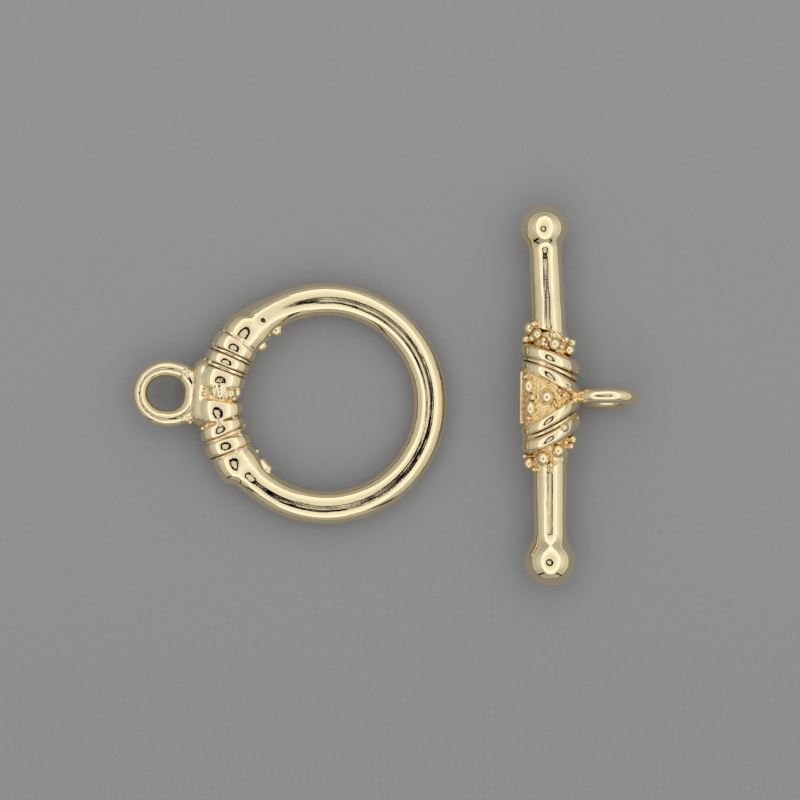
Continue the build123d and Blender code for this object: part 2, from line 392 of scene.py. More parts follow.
def squared(first, second, power):
    """Like a radius, but with a power above 2, which flattens the section at its top and sides."""
    return (np.abs(first) ** power + np.abs(second) ** power) ** (1 / power)


def oval(centre, radii):
    """A ball with three radii of its own."""
    def distance(p):
        q = (p - centre) / radii
        size = np.linalg.norm(q, axis=1)
        return size * (size - 1) / np.maximum(np.linalg.norm(q / radii, axis=1), 1e-6)
    return distance


def rod(start, end, start_r, end_r):
    """A round rod with round ends, whose radius may change along it."""
    start, along = np.array(start), np.array(end) - np.array(start)

    def distance(p):
        share = np.clip((p - start) @ along / (along @ along), 0, 1)
        middle = start + share[:, None] * along
        return np.linalg.norm(p - middle, axis=1) - (start_r + share * (end_r - start_r))
    return distance


print("distance fields ready")

# %% [markdown]
# The ring half is a wire bent into a hoop, worn a little flat on its back and belly. Under the
# binding it is thicker and lies further out, and it thins down gently on both sides. One form
# does all of that: its middle line and its radius change with the angle. No casting is quite
# even, so slow shallow waves run over all of it, and stronger ones over the eye.
# Angles are degrees from the eye's direction, as seen from the centre, with minus up the page.

# %% Hoop
HOOP_R, WRAP_R = 6.47, 6.64  # hoop's centre to the wire's middle line, plain and under the binding
WIRE_R, CORE_R = 1.03, 1.22  # of the wire, plain and under the binding
TURN_R = 1.40  # over the binding
HOOP_SQUARE = 2.35  # 2 is a round section, more is flattened on top
SWELL_AT, SWELL_END = 38, 60  # from here it is as thick as the core, to here it thins down
HIGH_AT, HIGH_END = 50, 84  # its height thins down later, and more gently
HIGH_MORE = 0.19  # how much higher than wide it is there, at most
WAVES, RIPPLES, EYE_WAVES = 0.004, 0.001, 0.005


def ring_waves(p):
    x, y, z = p.T
    on_eye = ramp(x, -8.4, -8.9) * np.sin(7.5 * x + 2 * np.sin(3 * y)) * np.sin(8.5 * y + 1.7)
    return (WAVES * np.sin(1.9 * x + 0.7) * np.sin(2.3 * y + 1.1 + z)
            + RIPPLES * np.sin(4.7 * x - 1.3 * y) * np.sin(3.9 * y + 2 * z) + EYE_WAVES * on_eye)


ring = Casting(ring_waves)


def on_hoop(at, out=0.0, height=0.0, line=WRAP_R):
    """A place by its angle from the eye, its distance outside the middle line, and its height."""
    turned = radians(180 + at)
    return np.array(((line + out) * cos(turned), (line + out) * sin(turned), height))


def around_hoop(p):
    """Angle from the eye in degrees, and distance from the hoop's axis."""
    return (np.degrees(np.arctan2(-p[:, 1], -p[:, 0])) + 180) % 360 - 180, np.hypot(p[:, 0], p[:, 1])


def box_on_hoop(start, end, radius):
    """Lowest and highest corner of a stretch of the binding."""
    angles = np.radians(180 + np.linspace(start, end, 9))
    reach = np.array((WRAP_R - radius, WRAP_R + radius))
    x, y = np.outer(np.cos(angles), reach), np.outer(np.sin(angles), reach)
    return (x.min(), y.min(), -radius), (x.max(), y.max(), radius)


def bent_wire(p):
    at, reach = around_hoop(p)
    swell = ramp(np.abs(at), SWELL_END, SWELL_AT) ** 2
    higher = HIGH_MORE * ramp(np.abs(at), HIGH_END, HIGH_AT) ** 2 * (1 - swell)
    line = HOOP_R + (WRAP_R - HOOP_R) * swell ** 3
    return squared(reach - line, p[:, 2] / (1 + higher), HOOP_SQUARE) - WIRE_R - (CORE_R - WIRE_R) * swell


ring.add((-8.0, -8.0, -1.3), (8.0, 8.0, 1.3), bent_wire)
print("hoop", 2 * (HOOP_R + WIRE_R), "mm across, wire", 2 * WIRE_R, "mm thick")

# %% [markdown]
# Eight turns of wire are bound round the core, wedge-shaped and some of them slewed. A turn's
# back is rounded along the hoop as well as across it, so the tent's rim shows on it as a closed
# loop. One function makes every turn from the angles of its edges outside the hoop, over the
# wire's middle and inside the hoop: a shallow arc, cut off by the edges with rounded rims. The
# two outermost turns, first in the table, die away softly into the hoop, most of all on its
# inner side, and next to the first the hoop has a shoulder outside.

# %% Turns of the binding
Turn = namedtuple("Turn", "outer_from outer_to middle_from middle_to inner_from inner_to "
                          "size soft_from soft_to", defaults=(0, 0))
TURN_RIM = 0.17  # rounding of the rims
SOFT_RIM = 1.5  # the same where a turn dies away, in the last two columns
TURN_CROWN, END_CROWN = 2.2, 2.1  # radius of a turn's back along the hoop, as a share of its width
SQUARE = 2.35  # the turns' backs are worn flat too
WIDE = 1.05  # and they are wider across the hoop than they are high
turns = [
    Turn(-42.2, -33.0, -46.0, -33.4, -49.0, -32.4, 0.965, SOFT_RIM),
    Turn(31.6, 44.5, 32.2, 43.6, 33.6, 48.0, 0.955, 0, SOFT_RIM),
    Turn(-31.6, -23.3, -32.2, -24.5, -31.3, -25.1, 1.00),
    Turn(-21.8, -16.6, -22.6, -16.3, -22.8, -16.1, 1.00),
    Turn(-14.9, -3.2, -14.2, -4.6, -13.5, -6.4, 1.01),
    Turn(0.2, 12.0, 2.1, 13.2, 3.1, 10.3, 1.01),
    Turn(15.9, 21.3, 13.4, 20.8, 12.9, 18.8, 1.00),
    Turn(22.7, 29.2, 22.5, 30.5, 24.6, 31.3, 0.995),
]


def edge(out, outer, middle, inner):
    """Angle of a turn's edge: a curve through its three angles, as out runs from -1 to 1."""
    return middle + out * (outer - inner) / 2 + out ** 2 * ((outer + inner) / 2 - middle)


def wound(turn, radius, crown, rim):
    """A turn round the binding. crown is the radius of its back across its width."""
    def distance(p):
        at, reach = around_hoop(p)
        out = np.clip((reach - WRAP_R) / TURN_R, -1, 1)
        start = edge(out, turn.outer_from, turn.middle_from, turn.inner_from)
        end = edge(out, turn.outer_to, turn.middle_to, turn.inner_to)
        across = np.radians(at - (start + end) / 2) * reach
        tube = squared((reach - WRAP_R) / WIDE, p[:, 2], SQUARE)
        skin_of_turn = np.hypot(across, tube - turn.size * radius + crown) - crown
        inward = np.clip(0.65 - 1.5 * out, 0.3, 1)  # how soft a soft edge is, at most 1
        inward *= inward * (3 - 2 * inward)
        for past, soft in ((start - at, turn.soft_from), (at - end, turn.soft_to)):
            softer = inward * max(soft - rim, 0)
            skin_of_turn = soft_max(skin_of_turn, np.radians(past) * reach - softer / 3, rim + softer)
        return skin_of_turn
    return distance


def wind(turn, radius, crowned, rim, blend):
    """Add a turn. crowned is the radius of its back, as a share of its width."""
    start, end = min(turn[0:6:2]) - 5, max(turn[1:6:2]) + 5
    crown = crowned * radians(turn.middle_to - turn.middle_from) * WRAP_R
    ring.add(*box_on_hoop(start, end, radius), wound(turn, radius, crown, rim), blend)


for turn in turns[:2]:
    wind(turn, TURN_R, END_CROWN, TURN_RIM, 0.30)
for turn in turns[2:]:
    wind(turn, TURN_R, TURN_CROWN, TURN_RIM, 0.03)
shoulder = on_hoop(-43.0, 0.14), on_hoop(-53.5, -0.06)
ring.add_rod(*shoulder, 1.08, 1.06, 1.1, 0.15)
print("turns", len(turns), "between", turns[0].outer_from, "and", turns[1].outer_to, "degrees")

# %% [markdown]
# A fine strand lies in most of the grooves, and here and there a little metal bridges a groove.
# The strands are narrow turns, and the bridges and the knot between the two middle turns are
# ovals sunk until only their tops show.

# %% Strands and bridges in the grooves
STRAND_R, STRAND_RIM, STRAND_CROWN = 1.34, 0.04, 2.0
strands = [
    Turn(-32.8, -31.8, -33.2, -32.3, -32.2, -31.4, 0.99),
    Turn(-23.1, -22.1, -24.3, -22.9, -24.8, -23.1, 1.0),
    Turn(-16.4, -15.2, -16.0, -14.5, -15.8, -13.8, 1.0),
    Turn(21.5, 22.4, 21.0, 22.3, 19.2, 21.8, 1.0),
    Turn(29.5, 31.0, 30.8, 31.8, 31.6, 33.2, 1.0),
]
for strand in strands:
    wind(strand, STRAND_R, STRAND_CROWN, STRAND_RIM, 0.05)

Lump = namedtuple("Lump", "at out top wide long blend")
lumps = [Lump(*row) for row in (
    (-32.9, -0.15, 1.385, 0.20, 0.22, 0.10), (13.1, 0.10, 1.39, 0.30, 0.30, 0.14),
    (31.8, -0.36, 1.37, 0.16, 0.20, 0.10), (-5.0, 0.06, 1.42, 0.42, 0.42, 0.16),
    (-1.7, -0.02, 1.43, 0.40, 0.50, 0.10), (-2.4, -0.72, 1.34, 0.34, 0.40, 0.08),
    (-3.2, -1.10, 1.05, 0.28, 0.40, 0.10), (0.2, -0.92, 1.14, 0.26, 0.30, 0.06),
    (-0.6, -0.42, 1.39, 0.26, 0.34, 0.06), (-3.4, -0.32, 1.41, 0.26, 0.26, 0.08),
    (-3.9, 0.40, 1.39, 0.25, 0.52, 0.08),
    (23.4, -0.95, 1.08, 0.24, 0.20, 0.06), (12.2, -0.82, 1.16, 0.20, 0.14, 0.05),
)]
for lump in lumps:
    radii = np.array((lump.wide, lump.long, 0.5))
    ring.add_oval(on_hoop(lump.at, lump.out, lump.top - radii[2]), radii, lump.blend)
print("strands", len(strands), "lumps", len(lumps))

# %% [markdown]
# Small grains of metal sit where the binding begins and ends, left by bubbles in the mould.
# They are balls that sink into the wire, and a larger lobe is a short rod.

# %% Grains
Grain = namedtuple("Grain", "at out height radius")
grains = [Grain(*row) for row in (
    (-52.0, -1.16, 0.42, 0.40), (-54.2, -1.02, 0.42, 0.30), (-38.3, -1.24, 0.42, 0.40),
    (-46.5, -1.06, 0.60, 0.21), (-43.2, -1.12, 0.52, 0.24), (-56.9, -0.84, 0.64, 0.16),
    (-41.7, 0.93, 0.75, 0.14), (-32.0, 1.12, 0.72, 0.12), (-24.3, 1.23, 0.62, 0.13),
    (-23.0, 1.05, 0.80, 0.12), (-16.3, 1.33, 0.45, 0.13), (-15.9, 1.02, 0.88, 0.15),
    (-14.9, -1.31, 0.35, 0.14), (-23.6, -1.30, 0.35, 0.11), (18.5, -1.36, 0.30, 0.12),
    (53.5, -1.05, 0.42, 0.17), (38.4, -1.38, 0.20, 0.20), (40.9, 0.92, 0.72, 0.16),
    (-8.4, 1.13, 0.92, 0.10), (-0.9, 0.94, 0.95, 0.15), (-0.8, -0.85, 1.05, 0.13),
    (14.2, 0.92, 0.90, 0.12), (14.9, 0.70, 1.02, 0.10), (15.0, 1.20, 0.60, 0.12),
    (13.1, -0.95, 0.92, 0.12), (45.5, 0.55, 0.86, 0.10),
)]
for grain in grains:
    ring.add_ball(on_hoop(grain.at, grain.out, grain.height), grain.radius, 0.06)
lobe_ends = on_hoop(46.4, -1.20, 0.35), on_hoop(51.4, -1.12, 0.45)
ring.add_rod(*lobe_ends, 0.33, 0.40, 0.4, 0.05)
print("grains", len(grains), "and a lobe")

# %% [markdown]
# The eye stands outside the turns on a short saddle, a rod that lies across them. Its wire is
# thickest at the two sides, and its hole is oval and squarer towards the saddle. Specks of rough
# metal stay in the corners between the two.

# %% Saddle and eye of the ring half
SADDLE_REACH = 7.55  # from the hoop's centre
SADDLE_R = 0.90
SADDLE_FROM, SADDLE_TO = -1.02, 1.48  # its straight length, from down to up the page
SADDLE_LIFT = 0.09  # how far its middle line lies above the hoop's
EYE_A, EYE_B = 1.66, 1.57  # the eye's middle line, away from the hoop and across
EYE_WIRE, EYE_WIRE_MORE = 0.445, 0.085  # its thickness along the page, and how much more across
EYE_ROOT_MORE = 0.17  # and how much more at its root, next to the saddle
saddle_ends = [(-SADDLE_REACH, along, SADDLE_LIFT) for along in (SADDLE_FROM, SADDLE_TO)]
ring.add_rod(*saddle_ends, SADDLE_R + 0.02, SADDLE_R - 0.03, SADDLE_R, 0.07)  # it tapers a little


def oval_eye(p):
    x, y, z = (p - (-EYE_REACH, 0, 0)).T
    away = np.hypot(x, y) + 1e-6
    to_hoop = np.clip(x / away, 0, 1)
    scaled = squared(x / EYE_A, y / EYE_B, 2 + 0.5 * to_hoop)
    steep = np.maximum(np.hypot(x / EYE_A ** 2, y / EYE_B ** 2), 1e-6)
    wire = EYE_WIRE + EYE_WIRE_MORE * (y / away) ** 2 + EYE_ROOT_MORE * to_hoop ** 4
    return np.hypot(scaled * (scaled - 1) / steep, z) - wire


ring.add((-EYE_REACH - 2.2, -2.2, -0.6), (-EYE_REACH + 2.2, 2.2, 0.6), oval_eye, 0.05)
Speck = namedtuple("Speck", "x y height radius")
specks_of_eye = [Speck(*row) for row in (
    (-8.92, 1.44, 0.44, 0.13), (-8.70, 1.20, 0.46, 0.12), (-9.00, 1.20, 0.47, 0.09),
    (-8.58, 1.46, 0.42, 0.14), (-8.55, -1.55, 0.38, 0.15), (-8.78, -1.58, 0.38, 0.13),
    (-8.36, -1.44, 0.40, 0.15), (-8.62, -1.30, 0.45, 0.10), (-8.34, -1.68, 0.24, 0.15),
    (-8.94, -1.72, 0.28, 0.12),
)]
for speck in specks_of_eye:
    ring.add_ball(np.array((speck.x, speck.y, speck.height)), speck.radius, 0.03)
print("forms in the ring half", len(ring.forms))

# %% [markdown]
# The bar half: two round rods that grow slightly thicker towards the barrel and end in balls.
# A blend between rod and ball gives the hollow neck. The upper arm leans a little, and its root
# ends in a small step on the barrel.

# %% Arms and balls of the bar half
Arm = namedtuple("Arm", "side reach ball lean root root_slope neck")
arms = [Arm(1, 10.55, 1.50, 2.9, 4.18, 0.10, 0.24), Arm(-1, 10.10, 1.63, 0.0, 3.60, 0.0, 0.42)]
ROD_R, ROD_ROOT_R = 1.03, 1.08
ROD_SQUARE = 2.14  # the rods are also worn a little flat
LEAN_FROM = 3.11  # an arm leans about this point, from the barrel's middle


def bar_waves(p):
    x, y, z = p.T
    return (0.006 * np.sin(1.7 * y + 0.4) * np.sin(2.1 * x + 1.3 * z)
            + 0.004 * np.sin(3.7 * y + 0.9) * np.sin(4.1 * x + 0.5))


bar = Casting(bar_waves)


def arm_rod(arm, start, towards, length):
    """The arm's rod, cut off at its root."""
    def distance(p):
        x, y, z = p.T
        along = (p - start) @ towards
        aside = (x - start[0]) * towards[1] - (y - start[1]) * towards[0]
        radius = ROD_ROOT_R + np.clip(along / length, 0, 1) * (ROD_R - ROD_ROOT_R)
        tube = squared(aside, z, ROD_SQUARE) - radius
        root = arm.root - arm.side * y - arm.root_slope * x
        return soft_max(soft_max(tube, along - length, 0.1), root, 0.12)
    return distance


for arm in arms:
    leaned = radians(arm.lean)
    start = np.array((0, arm.side * LEAN_FROM, 0))
    towards = np.array((-sin(leaned), arm.side * cos(leaned), 0))
    centre = start + (arm.reach - LEAN_FROM) * towards
    rod_length = arm.reach - LEAN_FROM - 0.4 * arm.ball
    low, high = np.minimum(start, centre) - arm.ball, np.maximum(start, centre) + arm.ball
    bar.add(low, high, arm_rod(arm, start, towards, rod_length))
    radii = arm.ball * np.array((1.0, 0.97, 1.0))
    bar.add(centre - arm.ball, centre + arm.ball, oval(centre, radii), arm.neck)
print("arms", len(arms))

# %% [markdown]
# The barrel is a thick middle, slanted as the bands on it are, on a thin ground that carries the
# beads at both ends. Between the two middle bands lies a panel of rough metal, closed by a rib
# on the side away from the eye and crossed by a thinner one.

# %% Barrel, panel and ribs
ENDS_R = 1.15  # the barrel's ends, under the beads
BARREL_R = 1.50  # its middle, under the bands
PANEL_HIGH, PANEL_ROUND = 1.52, 1.58  # the panel's height, and its width on the eye's side
PANEL_WIDE = 1.77  # on the other side it is flatter, and wider
PANEL_HALF = 1.9
TOP_END, TOP_SLOPE = 2.98, -0.33  # where the thick middle ends at the top of the page, and its slope
LOW_END, LOW_SLOPE = -2.90, 0.46
ENDS_MIDDLE, ENDS_HALF = 0.05, 4.12  # how far the thin ends reach, from the barrel's middle
ROUGH = 0.016  # how uneven the ground is, as it comes out of the mould


def rough(p):
    x, y, z = p.T
    return ROUGH * (np.sin(21 * x + 2 * np.sin(9 * y)) * np.sin(23 * y + 2 * np.sin(11 * z))
                    + np.sin(17 * y - 13 * z + 2 * np.sin(12 * x)))


def barrel(p):
    x, y, z = p.T
    across = np.hypot(x, z) - BARREL_R + rough(p)
    above = (y - TOP_END - TOP_SLOPE * x) / sqrt(1 + TOP_SLOPE ** 2)
    below = (LOW_END + LOW_SLOPE * x - y) / sqrt(1 + LOW_SLOPE ** 2)
    return soft_max(across, np.maximum(above, below), 0.2)


def panel(p):
    x, y, z = p.T
    flat = np.clip(0.4 - x, 0, 1)
    wide = PANEL_ROUND + (PANEL_WIDE - PANEL_ROUND) * flat
    across = PANEL_HIGH * (squared(x / wide, z / PANEL_HIGH, 2 + flat) - 1) + rough(p)
    return soft_max(across, np.abs(y) - PANEL_HALF, 0.1)


def ends(p):
    across = np.hypot(p[:, 0], p[:, 2]) - ENDS_R + 0.7 * rough(p)
    return soft_max(across, np.abs(p[:, 1] - ENDS_MIDDLE) - ENDS_HALF, 0.4)


bar.add((-ENDS_R, -4.2, -ENDS_R), (ENDS_R, 4.4, ENDS_R), ends, 0.10)
bar.add((-BARREL_R, -3.7, -BARREL_R), (BARREL_R, 3.5, BARREL_R), barrel, 0.05)
bar.add((-PANEL_WIDE, -PANEL_HALF, -PANEL_HIGH), (PANEL_WIDE, PANEL_HALF, PANEL_HIGH), panel, 0.04)
for side in (-1, 1):  # the rib that closes the panel, and the thinner one across it
    bar.add_rod((-1.76, -1.5, side * 0.76), (-1.74, 1.56, side * 0.76), 0.12, 0.12, 0.14, 0.03)
    bar.add_rod((-0.74, 0.86, side * 1.46), (-0.68, -0.08, side * 1.47), 0.09, 0.09, 0.14, 0.03)
print("barrel", 2 * BARREL_R, "mm thick under the bands")

# %% [markdown]
# Four bands cross the barrel on a slant and bend towards the eye. Their paths are parabolas over
# the barrel's width, and their section is the same as a turn's: a shallow arc with round rims.
# A fine thread runs between each outer band and its neighbour.

# %% Bands and threads
BAND_SQUARE = 2.1
Band = namedtuple("Band", "along slope bend width radius crown")
bands = [
    Band(2.52, -0.332, -0.029, 0.78, 1.84, 1.5), Band(1.43, -0.448, -0.082, 0.76, 1.83, 1.5),
    Band(-1.37, 0.531, 0.070, 0.74, 1.83, 1.5), Band(-2.54, 0.453, 0.104, 0.78, 1.84, 1.5),
    Band(1.98, -0.390, -0.055, 0.20, 1.73, 0.3), Band(-1.96, 0.490, 0.087, 0.20, 1.73, 0.3),
]


def band_form(band):
    def distance(p):
        x, y, z = p.T
        path = band.along + band.slope * x + band.bend * x ** 2
        slope = band.slope + 2 * band.bend * x
        aside = (y - path) / np.sqrt(1 + slope ** 2)
        tube = squared(x, z, BAND_SQUARE)
        back = np.hypot(aside, tube - band.radius + band.crown) - band.crown
        return soft_max(back, np.abs(aside) - band.width / 2, 0.3 * band.width)
    return distance


for band in bands:
    reach = band.radius * abs(band.slope) + band.radius ** 2 * abs(band.bend) + band.width
    bar.add((-band.radius, band.along - reach, -band.radius),
            (band.radius, band.along + reach, band.radius), band_form(band), 0.04)
for along in (1.80, -1.42):  # two of the bands are thicker where they bend round to the eye
    bar.add_oval(np.array((1.44, along, 0.0)), np.array((0.50, 0.40, 0.90)), 0.14)
print("bands and threads", len(bands))

# %% [markdown]
# Beads fill the spaces beside the bands. A bead is a ball, or an oval one, sunk so that its top
# stands nearly as high as the bands, and at the barrel's thin ends a foot joins it to the ground.
# The underside has the same beads a little lower, so that the bar lies on its bands.

# %% Beads
PANEL_TOP, END_TOP = 1.86, 1.66  # how high the beads stand, on the panel and at the ends
BIGGER = 1.12  # than they look, because their feet are hidden
LOWER_BELOW = 0.14  # how much lower the beads stand on the underside
FULL_WIDTH = 0.28  # a bead that is narrower than this also stands lower,
SMALL_LOWER = 0.20  # by up to this much
PANEL_PROUD = 0.40  # how far a bead stands above the panel
Bead = namedtuple("Bead", "across along width length")
beads = [Bead(*row) for row in (
    (-1.24, 4.33, 0.36, 0.38), (-1.40, 4.10, 0.22, 0.22), (-0.98, 4.58, 0.20, 0.17),
    (-1.46, 3.62, 0.30, 0.26), (-1.10, 3.70, 0.22, 0.20), (-0.77, 3.94, 0.30, 0.31),
    (0.33, 3.35, 0.36, 0.38), (1.20, 2.97, 0.34, 0.32), (1.34, 3.40, 0.29, 0.28),
    (1.02, 3.62, 0.20, 0.19), (-0.36, 3.62, 0.17, 0.15), (-0.16, 3.86, 0.13, 0.12),
    (-0.42, 3.36, 0.14, 0.13), (-0.02, 3.66, 0.12, 0.12), (0.78, 3.16, 0.16, 0.15),
    (0.84, 3.56, 0.12, 0.12), (-0.20, 3.30, 0.11, 0.11), (0.10, 3.94, 0.10, 0.10),
    (-1.30, -4.05, 0.29, 0.35), (-0.39, -3.75, 0.40, 0.41), (0.54, -3.26, 0.37, 0.38),
    (1.37, -2.58, 0.26, 0.27), (1.30, -2.98, 0.18, 0.18), (0.92, -1.82, 0.24, 0.24),
    (-0.98, -4.42, 0.14, 0.13), (0.10, -4.16, 0.13, 0.15), (-1.56, -3.62, 0.15, 0.16),
    (0.10, -4.44, 0.10, 0.10), (0.34, -4.04, 0.10, 0.10), (1.02, -2.76, 0.13, 0.13),
    (-1.29, 0.73, 0.29, 0.41), (-1.18, -0.64, 0.29, 0.43), (-0.15, 0.07, 0.43, 0.44),
    (-1.06, 0.04, 0.20, 0.18), (-1.50, 1.30, 0.13, 0.13), (-1.30, -1.24, 0.16, 0.15),
    (-0.08, 0.81, 0.10, 0.10), (0.62, 0.46, 0.11, 0.11), (1.00, 0.72, 0.14, 0.14),
    (0.94, 0.18, 0.14, 0.14), (1.28, 0.52, 0.14, 0.12), (0.42, -0.46, 0.09, 0.09),
    (0.96, -0.52, 0.12, 0.12), (-0.62, -1.02, 0.09, 0.09), (0.50, -0.12, 0.09, 0.09),
)]
for bead in beads:
    top = PANEL_TOP if abs(bead.along) < PANEL_HALF else END_TOP
    proud = min(1.0, bead.width / FULL_WIDTH)
    middle = top - (1 - proud) * SMALL_LOWER - bead.width
    height = sqrt(max(middle ** 2 - bead.across ** 2, 0.04))
    if top == PANEL_TOP:
        share = abs(bead.across) / PANEL_WIDE
        height = PANEL_HIGH * (1 - share ** 3) ** (1 / 3) + PANEL_PROUD * proud - bead.width
    radii = BIGGER * np.array((bead.width, bead.length, bead.width))
    for side in (-1, 1):
        centre = np.array((bead.across, bead.along, side * height + (LOWER_BELOW if side < 0 else 0)))
        bar.add_oval(centre, radii, 0.04)
        if top == END_TOP:
            foot = centre * (0.55, 1, 0.55)  # inside the thin ground
            bar.add_rod(foot, centre, 0.8 * bead.width, 0.85 * bead.width, 0.3, 0.03)
print("beads", len(beads), "above and below")

# %% [markdown]
# The bar's eye is a round ring of wire that stands upright on the barrel and leans a little, so
# from above it shows as a short rod with its lower half just peeping out on one side.

# %% Eye of the bar half
BAR_EYE_LINE = 1.555
BAR_EYE_WIRE = 0.475
EYE_LEAN = radians(6.0)
eye_up = np.array((0, sin(EYE_LEAN), cos(EYE_LEAN)))
eye_axis = np.array((0, cos(EYE_LEAN), -sin(EYE_LEAN)))


def round_eye(p):
    q = p - (BAR_EYE_REACH, 0, 0)
    power = 2 + 0.8 * np.clip(-q[:, 0] / 0.9, 0, 1)
    in_plane = squared(q[:, 0], q @ eye_up, power) - BAR_EYE_LINE
    return np.hypot(in_plane, q @ eye_axis) - BAR_EYE_WIRE


bar.add((BAR_EYE_REACH - 2.1, -0.8, -2.1), (BAR_EYE_REACH + 2.1, 0.8, 2.1), round_eye, 0.05)
bar.add_oval(np.array((1.56, 0.03, 0.0)), np.array((0.38, 0.74, 1.05)), 0.08)  # the lump at its root
print("forms in the bar half", len(bar.forms))

# %% [markdown]
# The fields become meshes on a fine grid. Most of the grid is empty air or solid metal, so the
# distance is first worked out once for each block of voxels, and only the blocks that the skin
# may cross are filled in. A voxel library finds the skin, with fewer faces where it is plain, and
# each corner is then moved along the field's slope until it lies on the true surface. The slope
# also gives the mesh its own exact normals, for smooth reflections.

# %% From field to mesh
VOXEL = 0.042
BLOCK = 8  # voxels along a block's side
BATCH = 48  # blocks worked out at a time
SMOOTHING = 0.028  # how far the mesh may leave the grid where the skin is plain
EDGE = 0.008


def slopes(casting, points):
    """Unit vectors away from the metal, from four samples round each point."""
    corners = np.array(((1, 1, 1), (1, -1, -1), (-1, 1, -1), (-1, -1, 1)), float)
    total = sum(np.outer(casting.measure(points + EDGE * corner), corner) for corner in corners)
    return total / np.maximum(np.linalg.norm(total, axis=1)[:, None], 1e-9)


def cells(counts):
    """Every place in a box of whole numbers."""
    return np.stack(np.meshgrid(*map(np.arange, counts), indexing="ij"), -1).reshape(-1, 3)


def voxel_grid(casting, low, high):
    """The distances on a fine grid, worked out only in the blocks that the skin may cross."""
    grid = openvdb.FloatGrid(3 * VOXEL)
    size = BLOCK * VOXEL
    blocks = cells(np.ceil((high - low) / size).astype(int))
    distance = casting.measure(low + size * (blocks + 0.5))
    reach = sqrt(3) / 2 * size + 0.1
    for corner in BLOCK * blocks[distance < -reach]:
        grid.fill(tuple(corner.tolist()), tuple((corner + BLOCK - 1).tolist()), -3 * VOXEL, False)
    near = blocks[np.abs(distance) <= reach]
    within = cells((BLOCK, BLOCK, BLOCK))
    for first in range(0, len(near), BATCH):
        corners = BLOCK * near[first:first + BATCH]
        field = casting.measure((low + VOXEL * (corners[:, None] + within)).reshape(-1, 3))
        field = np.clip(field, -3 * VOXEL, 3 * VOXEL).astype(np.float32)
        for corner, values in zip(corners, field.reshape(-1, BLOCK, BLOCK, BLOCK)):
            grid.copyFromArray(values, ijk=tuple(corner.tolist()))
    return grid


def skin(casting, low, high):
    """Corners and faces of the casting's surface, in its own millimetres."""
    low = np.array(low)
    grid = voxel_grid(casting, low, np.array(high))
    points, triangles, quads = grid.convertToPolygons(isovalue=0.0, adaptivity=SMOOTHING)
    points = low + VOXEL * points.astype(float)
    for _ in range(2):
        points -= slopes(casting, points) * casting.measure(points)[:, None]
    print("triangles", len(triangles) + 2 * len(quads))
    return points, [*map(tuple, triangles.tolist()), *map(tuple, quads.tolist())]


print("voxels of", VOXEL, "mm")

# %% [markdown]
# Where metal is hemmed in by other metal, little light reaches it, so the material paints shade
# there: an amber tint for the light bounced between gold walls, and brown in the narrowest gaps,
# painted shade with some dirt. The field tells how open each place is: walk outwards a little and
# see whether the distance grows as fast as the steps. The low ground between turns and beads is
# never polished, so it is rougher, and it counts as less open, which gives it more painted shade.
# The polishing wheel leaves fine strokes along the wire, so each corner also keeps how strongly
# they show and where it lies along and across them, in millimetres.

# %% Openness of the surface
GROUND_TOP = 1.31  # what lies lower than this between the turns isn't polished
GROUND_DARK = 0.55  # how much less open the unpolished ground counts, which also gives it more painted crevice shade
WORN, WORN_WIRE = 0.3, 0.15  # strength of the strokes everywhere, and how much more on wires
WORN_HOOP, WORN_ROD = 0.8, 1.7  # and how much more on the crowns of the hoop and of the rods
STROKE = 0.012  # how much the pattern is drawn out along the strokes


def openness(casting, points, normals):
    """1 on a free surface, towards 0 in a crevice."""
    total = np.zeros(len(points))
    for reach, weight in ((0.08, 0.3), (0.18, 0.3), (0.32, 0.25), (0.55, 0.15)):
        total += weight * np.clip(casting.measure(points + reach * normals) / reach, 0, 1)
    return total


def ring_ground(p):
    """1 on the rough core between the turns, 0 where the ring half is polished."""
    at, reach = around_hoop(p)
    low_lying = ramp(squared(reach - WRAP_R, p[:, 2], SQUARE), GROUND_TOP, GROUND_TOP - 0.05)
    return low_lying * ramp(np.abs(at), 38, 37) * (reach < WRAP_R + TURN_R)


def bar_ground(p):
    """1 on the rough barrel between the bands and beads."""
    nearest = np.abs(np.stack((barrel(p), panel(p)))).min(0)
    return np.clip(1.5 - nearest / 0.03, 0, 1)


def crown(p):
    """Up to 1 along the top and the bottom of a wire, where the polishing wheel bears most."""
    return ramp(np.abs(p[:, 2]), 0.96, 1.01)


def ring_worn(p):
    """How strongly the polishing strokes show: most on the plain hoop."""
    return WORN + (WORN_WIRE + WORN_HOOP * crown(p)) * ramp(np.abs(around_hoop(p)[0]), 45, 53)


def bar_worn(p):
    """The same for the bar: most on its rods."""
    size = np.abs(p[:, 1])
    return WORN + (WORN_WIRE + WORN_ROD * crown(p)) * ramp(size, 4.3, 4.6) * ramp(size, 8.9, 8.6)


def ring_lay(p):
    """Places along and across the polishing strokes, which follow the hoop."""
    at, reach = around_hoop(p)
    along = np.minimum(np.abs(at), 46) + STROKE * np.maximum(np.abs(at) - 46, 0)
    return np.stack((np.radians(along) * HOOP_R, reach, p[:, 2]), 1)


def bar_lay(p):
    """The same for the bar, whose strokes follow its rods."""
    size = np.abs(p[:, 1])
    along = np.minimum(size, 4.2) + STROKE * np.clip(size - 4.2, 0, 5.1) + np.maximum(size - 9.3, 0)
    return np.stack((p[:, 0], np.sign(p[:, 1]) * along, p[:, 2]), 1)


Half = namedtuple("Half", "name casting matrix low high ground worn lay")


